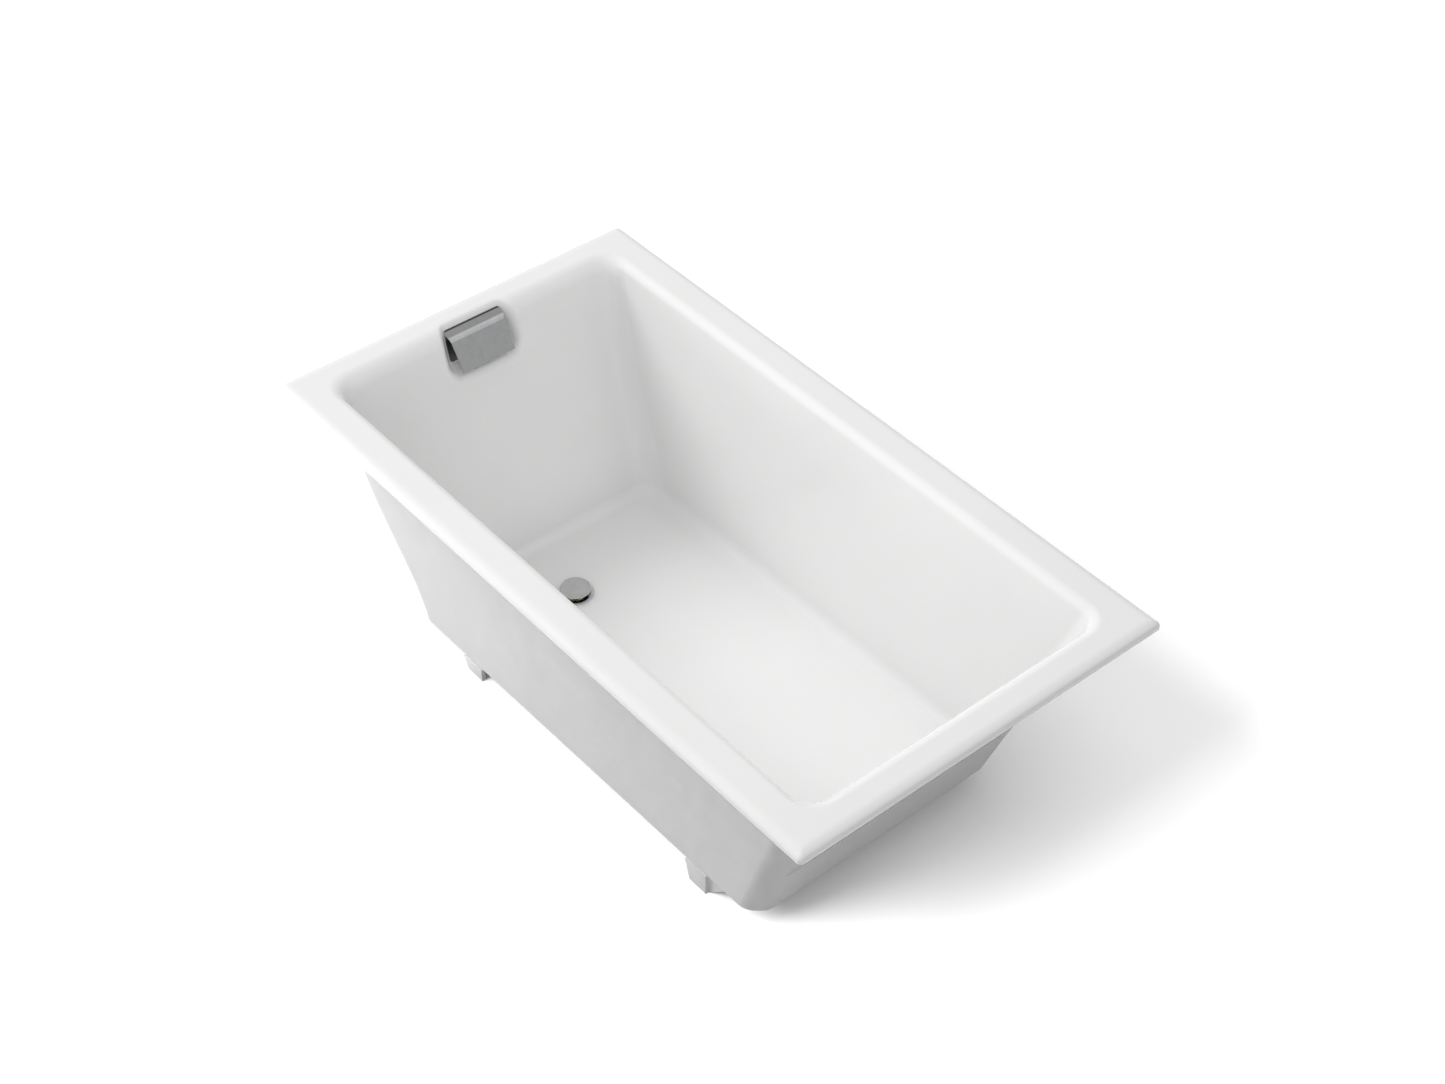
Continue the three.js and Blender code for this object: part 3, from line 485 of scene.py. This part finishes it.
def casting():
    """One closed skin of rings with the same number of points, the last joined to the first."""
    rows, on_outside = [], []

    def put(ring, outside=False):
        rows.append(ring)
        on_outside.append(outside)

    # Rim: from the underside of the lip, round the outer edge and in over the flat top.
    steps = 16
    for i in range(steps + 1):
        angle = i / steps * math.pi / 2
        put(rim_ring(EDGE_RUN * (1 - math.cos(angle)), RIM_TOP - EDGE_DROP * (1 - math.sin(angle))))
    flat_start, flat_end = rows[-1], level(outline(*well_section(0)), RIM_TOP)
    for t in [0.04, 0.2, 0.35, 0.45, *np.linspace(0.5, 1, 14)]:
        put(between(flat_start, flat_end, t))
    # Down the rolled edge and the walls of the well, then round the floor fillet.
    rolled = [BACK_ROLL * (1 - math.cos(math.radians(a))) for a in np.arange(2.5, 90, 2.5)]
    walls = [*np.arange(52, 138, 3), *np.linspace(145, FLOOR_DEPTH - FLOOR_FILLET - 4, 30)]
    bottom = [FLOOR_DEPTH - FLOOR_FILLET * (1 - math.sin(a)) for a in np.linspace(0, math.pi / 2, 14)]
    for depth in [*rolled, *walls, *bottom]:
        put(sloped(well_section(depth), depth, FLOOR_SLOPE))
    # Across the floor to the drain, whose seat is let into it.
    edge = rows[-1]
    heading = np.arctan2(edge[:, 1] - DRAIN_Y, edge[:, 0] - DRAIN_X)

    def circle(radius, z=None):
        x, y = DRAIN_X + radius * np.cos(heading), DRAIN_Y + radius * np.sin(heading)
        return np.c_[x, y, floor_z(x) if z is None else np.full(len(x), float(z))]

    seat_z = floor_z(DRAIN_X) - SEAT_DEPTH
    inner = circle(DRAIN_SEAT + 3)
    for t in (0.02, 0.1, 0.25, 0.4, 0.55, 0.7, 0.82, 0.91, 0.97, 1.0):
        put(between(edge, inner, t))
    for radius, share in ((2.2, 0.08), (1.4, 0.3), (0.7, 0.65), (0.2, 0.9), (-0.4, 1.0)):
        ring = circle(DRAIN_SEAT + radius)
        ring[:, 2] = between(ring[:, 2], seat_z, share)
        put(ring)
    under = floor_z(DRAIN_X - DRAIN_FACE) - WALL - 0.3
    for more, drop in ((1, 0), (0.3, 0.3), (0, 1)):
        put(circle(DRAIN_HOLE + more, seat_z - drop))
    put(circle(DRAIN_HOLE, under + 1))
    # The underside: the drain's face, the hollow inside the skirt, and the skirt itself.
    put(circle(DRAIN_HOLE + 0.6, under), True)
    put(circle(DRAIN_FACE - 0.8, under), True)
    put(circle(DRAIN_FACE, under + 0.8), True)
    root = circle(DRAIN_FACE + 0.2)
    root[:, 2] -= WALL
    put(root, True)
    x0, x1, half, corner = outer_section(SKIRT_DEPTH - UNDER_FILLET)
    hollow = outline(x0 + SKIRT, x1 - SKIRT, half - SKIRT, corner - SKIRT)
    far = np.c_[hollow, floor_z(hollow[:, 0]) - WALL]
    for t in (0.1, 0.35, 0.6, 0.85, 0.985):
        put(between(root, far, t), True)
    skirt_edge = RIM_TOP - SKIRT_DEPTH + SKIRT_SLOPE * (hollow[:, 0] - DRAIN_X)
    put(np.c_[hollow, far[:, 2] - 2.5], True)
    put(np.c_[hollow, skirt_edge + 0.8], True)
    wider = outline(x0 + SKIRT - 1, x1 - SKIRT + 1, half - SKIRT + 1, corner - SKIRT + 1)
    put(np.c_[wider, skirt_edge], True)
    # Up the outside to the underside of the rim and the inside of the lip.
    turn = [SKIRT_DEPTH - UNDER_FILLET * (1 - math.cos(a)) for a in np.linspace(0, math.pi / 2, 6)]
    ledge = PAD_DEPTH + PAD_LEDGE
    for depth in [*turn, 530, 505, *np.linspace(480, 390, 5), ledge + 5, ledge + 1, ledge]:
        put(raise_pad(sloped(outer_section(depth), depth, SKIRT_SLOPE)), True)
    clear = [PAD_DEPTH, PAD_DEPTH - 1, PAD_DEPTH - 5, *np.linspace(350, 150, 11)]
    for depth in [*clear, *np.arange(141, 14, -3.5)]:
        put(sloped(outer_section(depth), depth, SKIRT_SLOPE), True)
    x0, x1, half, corner = outer_section(RIM_PLATE)
    for grow, rise in ((0.2, 3.2), (1.0, 1.6), (2.4, 0.5), (4.0, 0.0)):
        ring = outline(x0 - grow, x1 + grow, half + grow, corner + grow)
        put(level(ring, RIM_TOP - RIM_PLATE - rise), True)
    inside, lip = rows[-1], rim_ring(LIP_WALL + 5, RIM_TOP - RIM_PLATE)
    for t in [*np.linspace(0.05, 0.7, 14), 0.9, 1.0]:
        put(between(inside, lip, t), True)
    for inset, drop in ((3.0, 0.4), (1.4, 1.6), (0.4, 3.2), (0.0, 5.0)):
        put(rim_ring(LIP_WALL + inset, RIM_TOP - RIM_PLATE - drop), True)
    put(rim_ring(LIP_WALL, RIM_TOP - LIP_HEIGHT + 1.5), True)
    put(rim_ring(LIP_WALL - 1.5, RIM_TOP - LIP_HEIGHT), True)
    for angle in np.radians((0, 18, 36, 54, 72, 90)):
        rise = LIP_ROUND * (1 - math.cos(angle))
        put(rim_ring(LIP_ROUND * (1 - math.sin(angle)), RIM_TOP - LIP_HEIGHT + rise))

    count = len(rows[0])
    points = np.vstack([
        sink_recess(ring, *((WALL, RECESS_OUTSIDE_BLEND) if outside else (0, RECESS_MOUTH_BLEND)))
        for ring, outside in zip(rows, on_outside)
    ])
    ring_faces = grid_faces(len(rows), count)
    last = (len(rows) - 1) * count
    for i in range(count):
        j = (i + 1) % count
        ring_faces.append((last + i, last + j, j, i))
    made = new_object("enamelled_casting", points, ring_faces, [ENAMEL, OUTSIDE_COAT])
    flags = [int(on_outside[face[0] // count] and on_outside[face[2] // count]) for face in ring_faces]
    made.data.polygons.foreach_set("material_index", flags)
    return made


shell = casting()
shade(shell, 40)
settle(shell, "bath", "enamel", "bath_shell")

# ---- Hardware: the CAD shapes with their facets merged and their edges rounded ---------------


def softened(node, width, angle=30, segments=3):
    """A copy of a CAD node with flat facets merged and its sharp edges rounded by width."""
    made = new_object(node + "_finished", [], [], [])
    shape = bmesh.new()
    shape.from_mesh(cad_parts[node].data)
    bmesh.ops.remove_doubles(shape, verts=shape.verts, dist=1e-6)
    bmesh.ops.dissolve_limit(
        shape, angle_limit=math.radians(0.6), verts=shape.verts, edges=shape.edges,
    )
    shape.to_mesh(made.data)
    shape.free()
    if width:
        bevel = made.modifiers.new("rounding", "BEVEL")
        bevel.width, bevel.segments = width * MM, segments
        bevel.limit_method, bevel.angle_limit = "ANGLE", math.radians(angle)
        apply_modifiers(made)
    return made


def finish_node(node, material, slot, width, body="bath", angle=30, smooth=32):
    made = softened(node, width, angle)
    made.data.materials.append(material)
    shade(made, smooth)
    return settle(made, body, slot, node)


for end in ("drain_end", "heel_end"):
    for flank in ("near", "far"):
        finish_node(f"foot_{end}_{flank}", OUTSIDE_COAT, "foot_enamel", 0.5)
        finish_node(f"foot_bolt_{end}_{flank}", STEEL, "steel", 0.4)
finish_node("overflow_cover", CHROME, "chrome", 0.35, angle=40, smooth=4)
# The backing plate's near-black colour is painted shade.
finish_node("overflow_plate", SHADED_PLATE, "backing_plate", 0.3)
for flank in ("near", "far"):
    finish_node(f"overflow_screw_{flank}", BRIGHT, "chrome", 0.25)
for node, width in (
    ("overflow_head", 0.8), ("waste_tee", 0.9), ("drain_shoe", 0.9), ("overflow_pipe", 0.3),
    ("shoe_pipe", 0.3), ("shoe_pipe_nut", 0.6), ("overflow_foot_nut", 0.6),
    ("overflow_head_nut", 0.6), ("toe_tap_cartridge", 0.2),
):
    finish_node(node, BRASS, "brass", width)
for node, width in (
    ("overflow_gasket", 0.5), ("drain_gasket", 0.4), ("shoe_pipe_washer", 0.3),
    ("overflow_foot_washer", 0.3), ("overflow_head_washer", 0.3),
):
    finish_node(node, RUBBER, "rubber", width)
finish_node("drain_flange", BRIGHT, "chrome", 0.3)
finish_node("stopper_cap", BRIGHT, "chrome", 0.3, "stopper", 25)
finish_node("stopper_plunger", BRASS, "brass", 0.2, "stopper")
finish_node("stopper_seal", RUBBER, "rubber", 0.2, "stopper")

# The spring is kept as the CAD coil, smooth shaded, with a mesh of its own.
spring = softened("stopper_spring", 0)
spring.data.materials.append(STEEL)
shade(spring, 70)
settle(spring, "bath", "steel", "stopper_spring")
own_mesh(spring)

# ---- Stage, light and camera --------------------------------------------------------------

FLOOR_REACH = 60.0


def stage_floor():
    m = Nodes("studio_floor")
    m.tint(m.noise(1.2, 2), grey(0.955), grey(0.965))
    m.rough(m.noise(6.0, 3), 0.75, 0.9)
    m.fixed(Specular_IOR_Level=0.1)
    reach = FLOOR_REACH / MM
    corners = [(-reach, -reach, -1), (reach, -reach, -1), (reach, reach, -1), (-reach, reach, -1)]
    made = new_object("studio_floor", corners, [(0, 1, 2, 3)], [m.material])
    made.visible_diffuse = False      # the light from below is the sky's lower half instead
    return made


def receivers(name, floor, state):
    """A collection for light linking that takes the floor in, or leaves only the floor out."""
    made = bpy.data.collections.new(name)
    made.objects.link(floor)
    made.collection_objects[0].light_linking.link_state = state
    return made


def softbox(name, at, aim, width, height, power):
    data = bpy.data.lights.new(name, "AREA")
    data.shape = "RECTANGLE"
    data.size, data.size_y, data.energy = width, height, power
    made = bpy.data.objects.new(name, data)
    made.location = at
    made.rotation_mode = "QUATERNION"
    made.rotation_quaternion = (Vector(at) - Vector(aim)).to_track_quat("Z", "Y")
    bpy.context.scene.collection.objects.link(made)
    return made


HORIZON = 0.03                    # half height of the band where the sky's halves blend


def sky(above, below):
    """World light, each half of it a level and how much it grows towards +X and +Y."""
    world = bpy.data.worlds.new("studio")
    world.use_nodes = True
    tree = world.node_tree
    place = tree.nodes.new("ShaderNodeTexCoord").outputs["Generated"]
    halves = []
    for strength, along_x, along_y in (above, below):
        slope = tree.nodes.new("ShaderNodeVectorMath")
        slope.operation = "DOT_PRODUCT"
        slope.inputs[1].default_value = (along_x, along_y, 0)
        tree.links.new(place, slope.inputs[0])
        total = tree.nodes.new("ShaderNodeMath")
        total.operation = "ADD"
        total.inputs[1].default_value = strength
        tree.links.new(slope.outputs["Value"], total.inputs[0])
        halves.append(total.outputs["Value"])
    split = tree.nodes.new("ShaderNodeSeparateXYZ")
    tree.links.new(place, split.inputs["Vector"])
    horizon = tree.nodes.new("ShaderNodeMapRange")
    horizon.inputs["From Min"].default_value = -HORIZON
    horizon.inputs["From Max"].default_value = HORIZON
    tree.links.new(split.outputs["Z"], horizon.inputs["Value"])
    blend = tree.nodes.new("ShaderNodeMix")
    tree.links.new(horizon.outputs["Result"], blend.inputs["Factor"])
    tree.links.new(halves[1], blend.inputs["A"])
    tree.links.new(halves[0], blend.inputs["B"])
    tree.nodes["Background"].inputs["Color"].default_value = (1, 1, 1, 1)
    tree.links.new(blend.outputs["Result"], tree.nodes["Background"].inputs["Strength"])
    bpy.context.scene.world = world


SKY_ABOVE = (0.65, 0.06, -0.21)
SKY_BELOW = (0.12, 0.10, 0.0)
# The bath's lights don't reach the floor, and the floor's don't reach the bath.
CENTRE = (0.0, 0.0, 0.3)
SOFTBOXES = (                     # place, aim, width, height, power
    ("key", (-9.8, -4.0, 9.6), CENTRE, 5.5, 5.5, 740),
    ("near_key", (-4.0, -2.0, 3.0), CENTRE, 2.0, 2.0, 12),
    ("side_fill", (-1.7, -1.7, 0.42), CENTRE, 0.8, 0.8, 20),
    ("well_fill", (0.2, -0.3, 2.2), CENTRE, 0.9, 0.9, 2.4),
    ("rim_fill", (-7.0, 4.0, 2.4), CENTRE, 1.6, 1.6, 120),
    ("far_wall_fill", (0.05, -0.28, 0.42), (0.05, 0.37, 0.38), 0.7, 0.2, 0.4),
)
FLOOR_LIGHTS = (
    ("floor_light", (-3.8, -17.7, 17.2), 13.0, 7000),
    ("floor_top_light", (4.0, 0.5, 12.0), 8.0, 480),
)
# Seen only in reflections: it brightens the hood's upper facets.
CARD_AT, CARD_AIM, CARD_SIZE, CARD_POWER = (3.4, 2.9, 5.3), (-0.74, 0.0, 0.55), (4.2, 3.6), 21

floor = stage_floor()
only_floor = receivers("only_floor", floor, "INCLUDE")
not_floor = receivers("not_floor", floor, "EXCLUDE")
sky(SKY_ABOVE, SKY_BELOW)
for name, at, aim, width, height, power in SOFTBOXES:
    box = softbox(name, at, aim, width, height, power)
    box.visible_glossy = box.visible_camera = False
    box.light_linking.receiver_collection = not_floor
card = softbox("reflection_card", CARD_AT, CARD_AIM, *CARD_SIZE, CARD_POWER)
card.visible_diffuse = False
for name, at, size, power in FLOOR_LIGHTS:
    box = softbox(name, at, (0.0, 0.0, 0.0), size, size, power)
    box.light_linking.receiver_collection = only_floor

CAMERA_AT = (2.7652, -2.2684, 3.7713)
CAMERA_AZIMUTH, CAMERA_ELEVATION, CAMERA_ROLL = (math.radians(a) for a in (49.779, 42.807, 0.493))
SENSOR, FOCAL = 36.0, 59.586

lens = bpy.data.cameras.new("camera")
lens.sensor_width, lens.lens = SENSOR, FOCAL
lens.clip_start, lens.clip_end = 0.05, 100
camera = bpy.data.objects.new("camera", lens)
back = Vector((
    math.sin(CAMERA_AZIMUTH) * math.cos(CAMERA_ELEVATION),
    -math.cos(CAMERA_AZIMUTH) * math.cos(CAMERA_ELEVATION),
    math.sin(CAMERA_ELEVATION),
))
side = Vector((math.cos(CAMERA_AZIMUTH), math.sin(CAMERA_AZIMUTH), 0))
turn = Matrix.Rotation(CAMERA_ROLL, 3, back)
axes = Matrix((side, back.cross(side), back)).transposed()
camera.matrix_world = Matrix.Translation(CAMERA_AT) @ (turn @ axes).to_4x4()
bpy.context.scene.collection.objects.link(camera)
bpy.context.scene.camera = camera
bpy.context.scene.view_settings.view_transform = "Standard"
